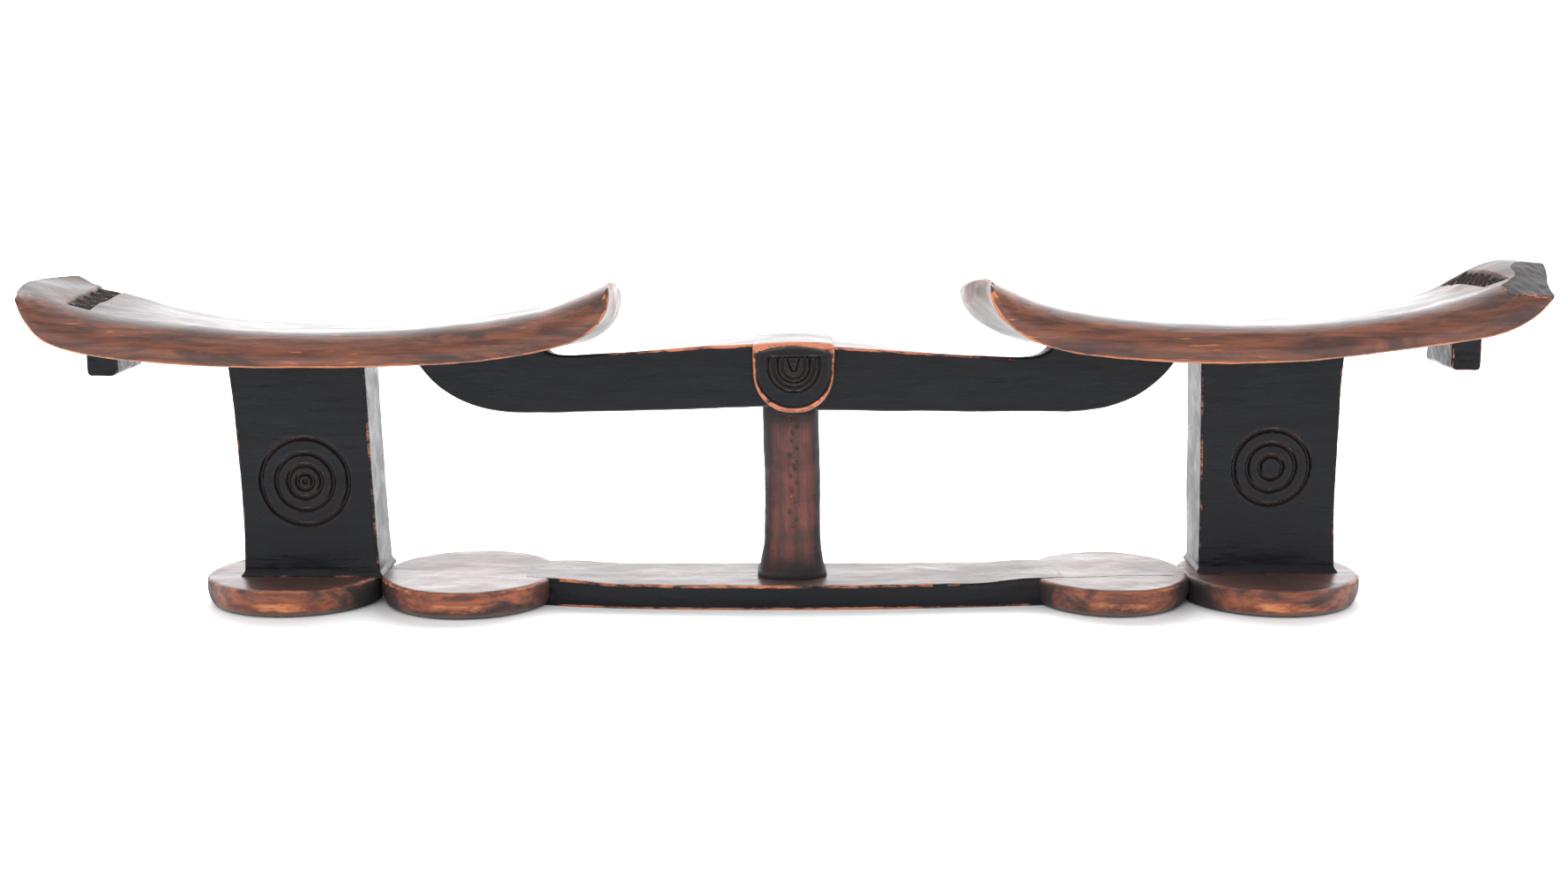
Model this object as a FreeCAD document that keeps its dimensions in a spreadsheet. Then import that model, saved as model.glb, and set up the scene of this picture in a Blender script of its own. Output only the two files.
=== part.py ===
"""A double headrest carved from dark wood, drawn as its separate carved members.

Lengths are millimetres. X runs along the headrest, Y from its front to its back, Z up.
The origin is on the ground under the middle of the whole piece.
"""
import FreeCAD, Part
import math
import os
import Sketcher

SHEET = "sizes"

# Every driving size: its name in the sheet, its value and what it measures.
SIZES = (
    # the base
    ("lobe_thick", 12.0, "thickness of the foot lobes"),
    ("lobe_top_round", 2.0, "rounding of a lobe's upper rim"),
    ("lobe_foot_round", 2.5, "rounding of a lobe's lower rim"),
    ("bar_thick", 10.6, "thickness of the flat bar between the feet"),
    ("bar_front", 14.5, "from the middle line to the bar's front edge at its ends"),
    ("bar_bow", 5.0, "how far the bar's front edge bows forward at the middle"),
    ("bar_back", 20.0, "from the middle line to the bar's back edge"),
    # the posts
    ("post_width_foot", 57.5, "width of a post where it stands on the base"),
    ("post_width_head", 56.0, "width of a post under its head platform"),
    ("post_depth", 27.0, "thickness of a post from front to back"),
    ("ring_width", 1.7, "width of a ring cut into a post"),
    ("ring_cut", 1.0, "depth of a ring cut into a post"),
    # the middle
    ("middle_shift", -1.0, "place of the middle column along the headrest"),
    ("column_width", 24.0, "width of the middle column"),
    ("column_foot_width", 29.0, "width of the column's flared foot"),
    ("column_depth", 20.0, "thickness of the column from front to back"),
    ("column_foot_depth", 25.0, "thickness of the flared foot"),
    ("column_flare", 22.0, "height over which the foot flares"),
    ("column_round", 7.0, "rounding of the column's upright corners"),
    ("boss_width", 34.0, "width of the boss across its top"),
    ("boss_height", 28.3, "height of the boss above the underside of the beam"),
    ("boss_crown", 1.4, "rise of the boss's arched top"),
    ("boss_round", 15.5, "radius of the boss's lower end"),
    ("boss_depth", 35.0, "thickness of the boss from front to back"),
    ("arch_cut", 0.8, "depth of the arches cut into the boss"),
    ("arch_width", 1.3, "width of an arch cut into the boss"),
    ("arch_outer", 11.0, "outer radius of the largest arch"),
    ("arch_step", 3.5, "step in radius from one arch to the next"),
    # the beam
    ("beam_drop", 20.2, "from a platform's lowest point down to the beam's underside"),
    ("beam_depth", 22.0, "thickness of the beam from front to back"),
    ("beam_rise_middle", 27.5, "height of an arm where it meets the boss"),
    ("beam_rise_neck", 22.6, "height of an arm at its thinnest"),
    ("neck_reach", 13.0, "length of the hollow between the neck and the platform"),
    ("neck_hook", 2.0, "rise of the hollow at the platform"),
    ("arm_reach", 81.0, "how far an arm runs under a platform from its inner tip"),
    ("arm_notch", 26.0, "from a platform's inner tip to where the arm meets it"),
    ("arm_bow", 42.0, "length of an arm's upswept end"),
    # the head platforms
    ("half_length", 319.0, "from the middle to a platform's outer tip"),
    ("seat_height", 104.7, "height of a platform's underside at its lowest"),
    ("head_depth", 59.5, "depth of a head platform from front to back"),
    ("head_forward", 3.5, "how far the platforms and the beam sit in front of the feet"),
    ("head_round", 3.0, "rounding of a platform's upper edges"),
    ("tip_thick", 4.0, "thickness of a platform at its tips"),
    ("belly_run_in", 27.0, "from the inner tip to the end of the underside's flat curve"),
    ("belly_run_out", 34.0, "from the outer tip to the end of the underside's flat curve"),
    ("strip_width", 12.0, "width of the recessed strip near a platform's outer tip"),
    ("strip_length", 42.0, "length of the strip across the platform"),
    ("strip_cut", 1.2, "depth of the strip"),
    ("strip_inset", 21.0, "from the outer tip to the middle of the strip"),
    ("strip_shift", 5.0, "how far the strip sits behind the platform's middle"),
    ("lug_width", 11.5, "width of the lug under a platform's outer end"),
    ("lug_depth", 26.0, "thickness of a lug from front to back"),
    ("lug_drop", 5.5, "how far a lug hangs below the platform's lowest point"),
)

# Sizes that differ between the two ends, because each was carved by eye: left, right.
SIDE_SIZES = (
    ("outer_lobe_radius", 38.0, 38.5, "radius of the round foot lobe under a post"),
    ("inner_lobe_radius", 38.0, 34.5, "radius of the round foot lobe beside it"),
    ("lobe_overlap", 0.75, 2.0, "how far a lobe is cut back where two lobes meet"),
    ("post_shift", 7.25, 0.5, "how far a post stands inward of its lobe's middle"),
    ("lug_inset", 26.5, 35.3, "from a platform's outer tip to the lug"),
    ("post_inset", 111.5, 115.5, "from a platform's outer tip to the middle of a post's foot"),
    ("post_back", 4.0, 11.0, "how far behind the middle line a post stands"),
    ("post_lean", 2.0, -1.5, "how far a post's head stands outward of its foot"),
    ("tip_in", 75.5, 75.0, "from the middle to a platform's inner tip"),
    ("seat_lift", 0.0, 2.3, "how much higher this platform sits"),
    ("seat_thick", 12.8, 12.5, "thickness of a platform at its lowest"),
    ("rise_in", 33.8, 32.8, "rise of the inner tip above the underside"),
    ("rise_out", 30.8, 36.0, "rise of the outer tip above the underside"),
    ("belly_rise_in", 5.6, 4.4, "rise of the underside at the inner end of its flat curve"),
    ("belly_rise_out", 5.0, 8.4, "rise of the underside at the outer end of its flat curve"),
    ("end_skew", 4.0, 13.0, "how much shorter one corner of the outer end is"),
    ("ring_z", 53.2, 57.9, "height of the rings' middle"),
    ("ring_outer", 19.4, 16.6, "outer radius of the largest ring"),
    ("ring_step", 5.6, 5.9, "step in radius from one ring to the next"),
)
RING_COUNT = {"left": 4, "right": 3}
ARCH_COUNT = 3
# The least wood, in cubic millimetres, that a real cut takes away.
LEAST_CUT = 1.0
# How far a trimming outline runs past the wood that it trims.
CLEAR = 5.0
# Two places closer than this are the same place.
TOUCH = 0.01


class Size:
    """A length that knows its number and the sheet formula that gives it."""

    def __init__(self, value, text):
        self.value = value
        self.text = text

    def joined(self, other, sign, value):
        text = other.text if isinstance(other, Size) else "%g" % other
        return Size(value, "(%s %s %s)" % (self.text, sign, text))

    def __add__(self, other):
        return self.joined(other, "+", self.value + number(other))

    def __sub__(self, other):
        return self.joined(other, "-", self.value - number(other))

    def times(self, other):
        text = other.text if isinstance(other, Size) else "%g" % other
        return Size(self.value * number(other), "(%s * %s)" % (self.text, text))

    def over(self, other):
        return Size(self.value / other.value, "(%s / %s)" % (self.text, other.text))

    def half(self):
        return self.times(0.5)

    def __neg__(self):
        return self.times(-1)


def number(item):
    return item.value if isinstance(item, Size) else item


doc = FreeCAD.newDocument("headrest")


def make_sheet():
    """Fill the sheet and return every size by its name."""
    sheet = doc.addObject("Spreadsheet::Sheet", SHEET)
    rows = [(name, value, note) for name, value, note in SIZES]
    for name, left, right, note in SIDE_SIZES:
        rows.append(("left_" + name, left, note + ", left"))
        rows.append(("right_" + name, right, note + ", right"))
    known = {}
    for row, (name, value, note) in enumerate(rows, start=1):
        sheet.set("A%d" % row, name)
        sheet.set("B%d" % row, "%g" % value)
        sheet.set("C%d" % row, note)
        sheet.setAlias("B%d" % row, name)
        known[name] = Size(value, "%s.%s" % (SHEET, name))
    doc.recompute()
    return known


size = make_sheet()
zero = Size(0.0, "0")
beam_under = size["seat_height"] - size["beam_drop"]


# ---- helpers for sketches and bodies -------------------------------------------------

def new_body(name):
    body = doc.addObject("PartDesign::Body", name)
    body.Label = name
    return body


def origin_plane(body, role):
    for feature in body.Origin.OriginFeatures:
        if feature.Role == role:
            return feature
    raise ValueError("no plane " + role)


def new_sketch(body, role, name, offset=None):
    """A sketch on one of the body's own planes, moved along the plane's normal."""
    sketch = body.newObject("Sketcher::SketchObject", name)
    sketch.AttachmentSupport = [(origin_plane(body, role), "")]
    sketch.MapMode = "FlatFace"
    if offset is not None:
        sketch.AttachmentOffset = FreeCAD.Placement(
            FreeCAD.Vector(0, 0, offset.value), FreeCAD.Rotation())
        sketch.setExpression("AttachmentOffset.Base.z", offset.text)
    return sketch


def vector(spot):
    return FreeCAD.Vector(spot[0].value, spot[1].value, 0)


def bound(sketch, kind, *items):
    """Add a constraint whose last item is a Size, and bind it to the sheet."""
    *places, length = items
    index = sketch.addConstraint(Sketcher.Constraint(kind, *places, length.value))
    sketch.setExpression("Constraints[%d]" % index, length.text)


def pin(sketch, line, end, spot):
    """Fix one point of a sketch element at a spot given as two Sizes."""
    bound(sketch, "DistanceX", -1, 1, line, end, spot[0])
    bound(sketch, "DistanceY", -1, 1, line, end, spot[1])


def end_at(sketch, line, spot):
    """Which end of a line or arc, 1 or 2, lies at a spot."""
    gaps = [sketch.getPoint(line, end).sub(vector(spot)).Length for end in (1, 2)]
    return 1 if gaps[0] < gaps[1] else 2


def draw_outline(sketch, corners, bends=None, smooth=()):
    """A closed outline through corners; a side with a bend is an arc near that spot.

    The spot only says which way the arc swells: a radius, a spot that the arc passes
    through, or a smooth joint at a corner then fixes it. Corners listed in smooth join
    their two sides without a kink.
    """
    bends = bends or {}
    count = len(corners)
    first = sketch.GeometryCount
    for step, corner in enumerate(corners):
        following = corners[(step + 1) % count]
        if step in bends:
            shape = Part.Arc(vector(corner), vector(bends[step]), vector(following))
        else:
            shape = Part.LineSegment(vector(corner), vector(following))
        sketch.addGeometry(shape, False)
    for step, corner in enumerate(corners):
        here = first + step
        before = first + (step - 1) % count
        joint = "Tangent" if step in smooth else "Coincident"
        ends = before, end_at(sketch, before, corner), here, end_at(sketch, here, corner)
        sketch.addConstraint(Sketcher.Constraint(joint, *ends))
        pin(sketch, here, ends[3], corner)
    return first


def pass_through(sketch, line, spot):
    """Make an arc pass through a spot given as two Sizes."""
    mark = sketch.addGeometry(Part.Point(vector(spot)), True)
    pin(sketch, mark, 1, spot)
    sketch.addConstraint(Sketcher.Constraint("PointOnObject", mark, 1, line))


def circle(sketch, middle, radius):
    shape = Part.Circle(vector(middle), FreeCAD.Vector(0, 0, 1), radius.value)
    line = sketch.addGeometry(shape, False)
    bound(sketch, "Radius", line, radius)
    pin(sketch, line, 3, middle)


def pad(body, sketch, name, length, centred=False):
    feature = body.newObject("PartDesign::Pad", name)
    feature.Profile = sketch
    feature.SideType = "Symmetric" if centred else "One side"
    feature.Length = length.value
    feature.setExpression("Length", length.text)


def pocket(body, sketch, name, depth=None, centred=False, backward=False):
    """Cut a sketch into the body, right through it where no depth is given."""
    doc.recompute()
    before = body.Shape.Volume
    feature = body.newObject("PartDesign::Pocket", name)
    feature.Profile = sketch
    feature.Reversed = backward
    feature.SideType = "Symmetric" if centred or depth is None else "One side"
    if depth is None:
        feature.Type = "ThroughAll"
    else:
        feature.Length = depth.value
        feature.setExpression("Length", depth.text)
    doc.recompute()
    if body.Shape.Volume > before - LEAST_CUT:
        raise RuntimeError(name + " cuts nothing")


def set_down(item, x, y, z, turned=False):
    """Put an item at three Sizes, turned half way round for the left side."""
    rotation = FreeCAD.Rotation(FreeCAD.Vector(0, 0, 1), 180.0 if turned else 0.0)
    item.Placement = FreeCAD.Placement(FreeCAD.Vector(x.value, y.value, z.value), rotation)
    for axis, length in zip("xyz", (x, y, z)):
        item.setExpression("Placement.Base." + axis, length.text)


def cut(name, base, *tools):
    """Take each tool's wood out of the base, so that the two meet face to face."""
    for step, tool in enumerate(tools):
        feature = doc.addObject("Part::Cut", "%s_cut%d" % (name, step))
        feature.Base = base
        feature.Tool = tool
        base = feature
    base.Label = name
    return base


def of_side(side, name):
    return size["%s_%s" % (side, name)]


def is_left(side):
    return side == "left"


def seat(side):
    """Height of a platform's underside at its lowest."""
    return size["seat_height"] + of_side(side, "seat_lift")


def post_reach(side):
    """From the middle of the headrest to the middle of a post's foot."""
    return size["half_length"] - of_side(side, "post_inset")


def lobe_radius(side, outer):
    return of_side(side, "outer_lobe_radius" if outer else "inner_lobe_radius")


def pinch_reach(side, outer):
    """From the middle of a foot lobe to the plane where it meets its neighbour."""
    return lobe_radius(side, outer) - of_side(side, "lobe_overlap")


def lobe_reach(side, outer):
    """From the middle of the headrest to the middle of a foot lobe."""
    under_post = post_reach(side) + of_side(side, "post_shift")
    if outer:
        return under_post
    return under_post - pinch_reach(side, True) - pinch_reach(side, False)


def outward(side, length):
    """A distance from the middle towards this side, as a place along X."""
    return -length if is_left(side) else length


def front_plane(side, depth):
    """Where the front face lies along the normal of a body's XZ plane, and which way to cut.

    A left-hand body is turned half way round, so its front is its own back.
    """
    return (-depth.half() if is_left(side) else depth.half()), is_left(side)


# ---- the base ------------------------------------------------------------------------

def foot_lobe(name, side, outer):
    """A round foot with rounded rims, trimmed flat where it meets its neighbour."""
    body = new_body(name)
    sketch = new_sketch(body, "XZ_Plane", name + "_profile")
    rim = lobe_radius(side, outer)
    top = size["lobe_thick"]
    high = size["lobe_top_round"]
    low = size["lobe_foot_round"]
    bend = 1 - math.sqrt(0.5)
    corners = [(zero, zero), (rim - low, zero), (rim, low), (rim, top - high),
               (rim - high, top), (zero, top)]
    bends = {1: (rim - low.times(bend), low.times(bend)),
             3: (rim - high.times(bend), top - high.times(bend))}
    first = draw_outline(sketch, corners, bends)
    bound(sketch, "Radius", first + 1, low)
    bound(sketch, "Radius", first + 3, high)
    turn = body.newObject("PartDesign::Revolution", name + "_turn")
    turn.Profile = sketch
    turn.ReferenceAxis = (sketch, ["V_Axis"])
    turn.Angle = 360.0
    trim = new_sketch(body, "XY_Plane", name + "_trim")
    far = rim + CLEAR
    pinch = pinch_reach(side, outer)
    draw_outline(trim, [(-pinch, -far), (-pinch, far), (-far, far), (-far, -far)])
    pocket(body, trim, name + "_flat")
    middle = outward(side, lobe_reach(side, outer))
    set_down(body, middle, zero, zero, turned=is_left(side) == outer)
    return body


def base_bar(left_lobe, right_lobe):
    """The flat bar between the feet, hollowed at its ends to fit the inner lobes."""
    body = new_body("bar_blank")
    sketch = new_sketch(body, "XY_Plane", "bar_plan")
    left = -lobe_reach("left", outer=False)
    right = lobe_reach("right", outer=False)
    front = -size["bar_front"]
    back = size["bar_back"]
    crown = (zero, front - size["bar_bow"])
    corners = [(left, front), (right, front), (right, back), (left, back)]
    first = draw_outline(sketch, corners, {0: crown})
    pass_through(sketch, first, crown)
    pad(body, sketch, "bar_pad", size["bar_thick"])
    return cut("base_bar", body, left_lobe, right_lobe)


# ---- the head platforms ---------------------------------------------------------------

def top_height(side, spot):
    """Height of a platform's dished top at a place along it, as a shallow arc."""
    half_span = (size["half_length"] - of_side(side, "tip_in")).half()
    middle = (size["half_length"] + of_side(side, "tip_in")).half()
    rise_in = of_side(side, "rise_in") - of_side(side, "seat_thick")
    rise_out = of_side(side, "rise_out") - of_side(side, "seat_thick")
    share = (spot - middle).over(half_span)
    curve = (rise_out + rise_in).half().times(share).times(share)
    tilt = (rise_out - rise_in).half().times(share)
    return seat(side) + of_side(side, "seat_thick") + curve + tilt


def platform_outline(sketch, side):
    """The boat-shaped outline of a head platform, seen from the front."""
    low = seat(side)
    inner = of_side(side, "tip_in")
    outer = size["half_length"]
    run_in = size["belly_run_in"]
    run_out = size["belly_run_out"]
    tip_in = low + of_side(side, "rise_in")
    tip_out = low + of_side(side, "rise_out")
    under_in = tip_in - size["tip_thick"]
    under_out = tip_out - size["tip_thick"]
    middle = (inner + outer).half()
    keel = (middle, low)
    hollow = (middle, low + of_side(side, "seat_thick"))
    corners = [(inner + run_in, low + of_side(side, "belly_rise_in")),
               (outer - run_out, low + of_side(side, "belly_rise_out")),
               (outer, under_out), (outer, tip_out), (inner, tip_in), (inner, under_in)]
    bends = {0: keel,
             1: (outer - run_out.times(0.25), under_out - run_out.times(0.35)),
             3: hollow,
             5: (inner + run_in.times(0.25), under_in - run_in.times(0.45))}
    first = draw_outline(sketch, corners, bends, smooth=(0, 1))
    pass_through(sketch, first, keel)
    pass_through(sketch, first + 3, hollow)
    return hollow


def round_upper_edges(body, name, hollow):
    """Round the long front and back edges of a platform's top."""
    doc.recompute()
    edges = []
    for row in (-size["head_depth"].half(), size["head_depth"].half()):
        spot = Part.Vertex(hollow[0].value, row.value, hollow[1].value)
        for count, edge in enumerate(body.Shape.Edges, start=1):
            if edge.distToShape(spot)[0] < TOUCH:
                edges.append("Edge%d" % count)
    if len(edges) != 2:
        raise RuntimeError("%s: found %d upper edges" % (name, len(edges)))
    base = body.Tip
    fillet = body.newObject("PartDesign::Fillet", name + "_round")
    fillet.Base = (base, edges)
    fillet.setExpression("Radius", size["head_round"].text)


def head_platform(side):
    """A dished platform with an upswept tip at each end and a recessed strip near the outer one."""
    name = side + "_head_platform"
    body = new_body(name)
    sketch = new_sketch(body, "XZ_Plane", name + "_profile")
    hollow = platform_outline(sketch, side)
    pad(body, sketch, name + "_pad", size["head_depth"], centred=True)

    plan = new_sketch(body, "XY_Plane", name + "_end_plan")
    outer = size["half_length"]
    short = outer - of_side(side, "end_skew")
    edge = size["head_depth"].half()
    draw_outline(plan, [(short, -edge), (outer, edge), (outer + CLEAR, edge + CLEAR),
                        (outer + CLEAR, -edge - CLEAR), (short, -edge - CLEAR)])
    pocket(body, plan, name + "_end")
    round_upper_edges(body, name, hollow)

    shift = -size["strip_shift"] if is_left(side) else size["strip_shift"]
    # the XZ plane looks forward, so its far side is the body's own front
    view = new_sketch(body, "XZ_Plane", name + "_strip", offset=-shift)
    near = outer - size["strip_inset"] - size["strip_width"].half()
    far = near + size["strip_width"]
    floor = [(spot, top_height(side, spot) - size["strip_cut"]) for spot in (near, far)]
    draw_outline(view, [floor[0], floor[1], (far, floor[1][1] + CLEAR), (near, floor[0][1] + CLEAR)])
    pocket(body, view, name + "_recess", size["strip_length"], centred=True)
    set_down(body, zero, -size["head_forward"], zero, turned=is_left(side))
    return body


def lug(side, platform):
    """A small block left hanging under a platform's outer end."""
    name = side + "_lug"
    blank = doc.addObject("Part::Box", name + "_blank")
    far = size["half_length"] - of_side(side, "lug_inset")
    low = seat(side) - size["lug_drop"]
    high = top_height(side, far - size["lug_width"]) - of_side(side, "seat_thick").half()
    for key, length in (("Length", size["lug_width"]), ("Width", size["lug_depth"]),
                        ("Height", high - low)):
        setattr(blank, key, length.value)
        blank.setExpression(key, length.text)
    near = far - size["lug_width"]
    corner = -far if is_left(side) else near
    set_down(blank, corner, -size["head_forward"] - size["lug_depth"].half(), low)
    return cut(name, blank, platform)


# ---- the posts ------------------------------------------------------------------------

def rectangle(sketch, middle, width, depth):
    side_x = width.half()
    side_y = depth.half()
    draw_outline(sketch, [(middle - side_x, -side_y), (middle + side_x, -side_y),
                          (middle + side_x, side_y), (middle - side_x, side_y)])


def post(side, platform):
    """A plank-like post with rings cut into its front, fitted under its platform."""
    name = side + "_post"
    body = new_body(name + "_blank")
    foot = size["lobe_thick"]
    head = seat(side) + of_side(side, "seat_thick").half()
    lower = new_sketch(body, "XY_Plane", name + "_foot")
    rectangle(lower, zero, size["post_width_foot"], size["post_depth"])
    upper = new_sketch(body, "XY_Plane", name + "_head", offset=head - foot)
    rectangle(upper, of_side(side, "post_lean"), size["post_width_head"], size["post_depth"])
    loft = body.newObject("PartDesign::AdditiveLoft", name + "_loft")
    loft.Profile = lower
    loft.Sections = [upper]
    loft.Ruled = True

    plane, backward = front_plane(side, size["post_depth"])
    rings = new_sketch(body, "XZ_Plane", name + "_rings", offset=plane)
    height = of_side(side, "ring_z") - foot
    lean = of_side(side, "post_lean").times(height.over(head - foot))
    for step in range(RING_COUNT[side]):
        radius = of_side(side, "ring_outer") - of_side(side, "ring_step").times(step)
        circle(rings, (lean, height), radius)
        circle(rings, (lean, height), radius - size["ring_width"])
    pocket(body, rings, name + "_ring_cut", size["ring_cut"], backward=backward)
    set_down(body, outward(side, post_reach(side)), of_side(side, "post_back"), foot,
             turned=is_left(side))
    return cut(name, body, platform)


# ---- the middle -----------------------------------------------------------------------

def center_boss():
    """The shield-shaped block in the middle of the beam, with arches cut into its front."""
    body = new_body("center_boss")
    sketch = new_sketch(body, "XZ_Plane", "boss_profile")
    half_top = size["boss_width"].half()
    round_end = size["boss_round"]
    corners = [(-round_end, round_end), (round_end, round_end),
               (half_top, size["boss_height"]), (-half_top, size["boss_height"])]
    crown = (zero, size["boss_height"] + size["boss_crown"])
    first = draw_outline(sketch, corners, {0: (zero, zero), 2: crown})
    pass_through(sketch, first, (zero, zero))
    pass_through(sketch, first + 2, crown)
    pad(body, sketch, "boss_pad", size["boss_depth"], centred=True)

    arches = new_sketch(body, "XZ_Plane", "boss_arches", offset=size["boss_depth"].half())
    line = size["boss_height"] - size["boss_round"].half()
    for step in range(ARCH_COUNT):
        wide = size["arch_outer"] - size["arch_step"].times(step)
        narrow = wide - size["arch_width"]
        half_ring(arches, line, wide, narrow)
    pocket(body, arches, "boss_arch_cut", size["arch_cut"])
    set_down(body, size["middle_shift"], -size["head_forward"], beam_under)
    return body


def half_ring(sketch, line, wide, narrow):
    """Half of a ring that hangs below a level line."""
    corners = [(-wide, line), (wide, line), (narrow, line), (-narrow, line)]
    first = draw_outline(sketch, corners, {0: (zero, line - wide), 2: (zero, line - narrow)})
    pass_through(sketch, first, (zero, line - wide))
    pass_through(sketch, first + 2, (zero, line - narrow))


def rounded_section(body, name, height, width, depth, corner):
    """A level section of the column: a rectangle with rounded corners."""
    sketch = new_sketch(body, "XY_Plane", name, offset=height)
    out_x = width.half()
    out_y = depth.half()
    in_x = out_x - corner
    in_y = out_y - corner
    bend = corner.times(1 - math.sqrt(0.5))
    corners = [(-in_x, -out_y), (in_x, -out_y), (out_x, -in_y), (out_x, in_y),
               (in_x, out_y), (-in_x, out_y), (-out_x, in_y), (-out_x, -in_y)]
    bends = {1: (out_x - bend, bend - out_y), 3: (out_x - bend, out_y - bend),
             5: (bend - out_x, out_y - bend), 7: (bend - out_x, bend - out_y)}
    first = draw_outline(sketch, corners, bends)
    for step in bends:
        bound(sketch, "Radius", first + step, corner)
    return sketch


def center_column(boss):
    """The round-cornered column under the boss, with a flared foot."""
    body = new_body("column_blank")
    width = size["column_width"]
    depth = size["column_depth"]
    corner = size["column_round"]
    head = beam_under + size["boss_round"].half() - size["bar_thick"]
    flare = size["column_flare"]
    foot = rounded_section(body, "column_foot", zero, size["column_foot_width"],
                           size["column_foot_depth"], corner)
    above = [rounded_section(body, "column_ankle", flare, width, depth, corner),
             rounded_section(body, "column_middle", flare.times(2), width, depth, corner),
             rounded_section(body, "column_head", head, width, depth, corner)]
    loft = body.newObject("PartDesign::AdditiveLoft", "column_loft")
    loft.Profile = foot
    loft.Sections = above
    set_down(body, size["middle_shift"], zero, size["bar_thick"])
    return cut("center_column", body, boss)


def beam_arm(side, boss, column, platform):
    """One arm of the beam: it leaves the boss, thins at a neck and sweeps up under a platform."""
    name = side + "_beam_arm"
    body = new_body(name + "_blank")
    sketch = new_sketch(body, "XZ_Plane", name + "_profile")
    shift = -size["middle_shift"] if is_left(side) else size["middle_shift"]
    root = shift + size["column_width"].half()
    meet = of_side(side, "tip_in") + size["arm_notch"]
    end = of_side(side, "tip_in") + size["arm_reach"]
    neck = meet - size["neck_reach"]
    neck_z = beam_under + size["beam_rise_neck"]
    bow = size["arm_bow"]
    # these two corners lie inside the platform, which takes its own wood out of the arm
    half_thick = of_side(side, "seat_thick").half()
    buried_end = (end, seat(side) + half_thick.half())
    buried_notch = (meet + size["neck_hook"],
                    seat(side) + half_thick + of_side(side, "belly_rise_in").half())
    corners = [(root, beam_under), (end - bow, beam_under), buried_end, buried_notch,
               (meet, neck_z + size["neck_hook"]), (neck, neck_z),
               (root, beam_under + size["beam_rise_middle"])]
    bends = {1: (end - bow.times(0.45), beam_under + bow.times(0.15)),
             4: (meet - size["neck_reach"].half(), neck_z + size["neck_hook"].times(0.25))}
    draw_outline(sketch, corners, bends, smooth=(1, 5))
    pad(body, sketch, name + "_pad", size["beam_depth"], centred=True)
    set_down(body, zero, -size["head_forward"], zero, turned=is_left(side))
    return cut(name, body, boss, column, platform)


# ---- the whole headrest ---------------------------------------------------------------

def make_headrest():
    """Every member by its name, in the order in which it rests on the ones before."""
    members = []
    lobes = {}
    for side in ("left", "right"):
        for place, outer in (("outer", True), ("inner", False)):
            name = "%s_%s_lobe" % (side, place)
            lobes[name] = foot_lobe(name, side, outer)
            members.append(lobes[name])
    members.append(base_bar(lobes["left_inner_lobe"], lobes["right_inner_lobe"]))
    boss = center_boss()
    column = center_column(boss)
    members += [boss, column]
    for side in ("left", "right"):
        platform = head_platform(side)
        members += [platform, post(side, platform), lug(side, platform),
                    beam_arm(side, boss, column, platform)]
    return members


def check(members):
    """Stop on anything that failed, before a file is written."""
    for item in doc.Objects:
        if "Invalid" in item.State or "Error" in item.State:
            raise RuntimeError("%s failed: %s" % (item.Name, item.State))
    for member in members:
        shape = member.Shape
        if shape.isNull() or not shape.isValid() or len(shape.Solids) != 1:
            raise RuntimeError("%s is not one good solid" % member.Label)


def export(members):
    os.makedirs("parts", exist_ok=True)
    for member in members:
        member.Shape.exportStep("parts/%s.step" % member.Label)
        box = member.Shape.optimalBoundingBox()
        print("%-20s X %7.1f %7.1f  Y %6.1f %6.1f  Z %6.1f %6.1f  %8.0f mm3" % (
            member.Label, box.XMin, box.XMax, box.YMin, box.YMax, box.ZMin, box.ZMax,
            member.Shape.Volume))


headrest = make_headrest()
doc.recompute()
check(headrest)
export(headrest)
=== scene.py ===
# %% [markdown]
# # A carved double headrest
#
# The real headrest is one block of hardwood, carved into members: two dished platforms for
# two heads, two posts, a beam with a boss, a column and a base of round lobes. The frame
# gives each member's place as a plain solid. This lesson carves each member again with
# bmesh operators, softer and more worn than a machine would leave it, and then finishes it
# with wood materials made of nodes. It starts with the frame.

import math

import bmesh
import bpy
from mathutils import Matrix, Vector, kdtree, noise
from mathutils.geometry import interpolate_bezier


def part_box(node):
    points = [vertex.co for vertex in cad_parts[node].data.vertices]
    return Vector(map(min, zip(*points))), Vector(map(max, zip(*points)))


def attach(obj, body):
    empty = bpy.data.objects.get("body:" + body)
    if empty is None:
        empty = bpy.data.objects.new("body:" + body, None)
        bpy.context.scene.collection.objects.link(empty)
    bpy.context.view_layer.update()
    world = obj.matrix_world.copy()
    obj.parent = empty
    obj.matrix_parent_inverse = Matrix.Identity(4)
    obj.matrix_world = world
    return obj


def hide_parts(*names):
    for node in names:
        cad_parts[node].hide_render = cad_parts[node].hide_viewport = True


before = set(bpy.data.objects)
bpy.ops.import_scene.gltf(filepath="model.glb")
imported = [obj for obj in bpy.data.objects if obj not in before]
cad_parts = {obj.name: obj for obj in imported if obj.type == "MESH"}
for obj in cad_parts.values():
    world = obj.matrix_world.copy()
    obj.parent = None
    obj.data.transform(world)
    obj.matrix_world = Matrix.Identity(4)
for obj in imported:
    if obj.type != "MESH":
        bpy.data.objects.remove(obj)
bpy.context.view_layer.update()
MM = 0.001
print("nodes in the frame:", sorted(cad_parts))

# %% [markdown]
# ## The camera, the floor and the light
#
# Carved wood is read by its reflections, so the light comes first. A white surround and a
# white floor give the soft, shadowless look of a studio table. The surround is brighter
# behind the headrest, and a soft panel lights the floor there, which puts the pale sheen on
# everything that lies flat or turns aside. Another panel above the camera keeps the dark
# fronts readable. The camera stands in front, a little above the platforms.

# %% Camera, floor and lights
scene = bpy.context.scene
scene.view_settings.view_transform = "Standard"

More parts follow.
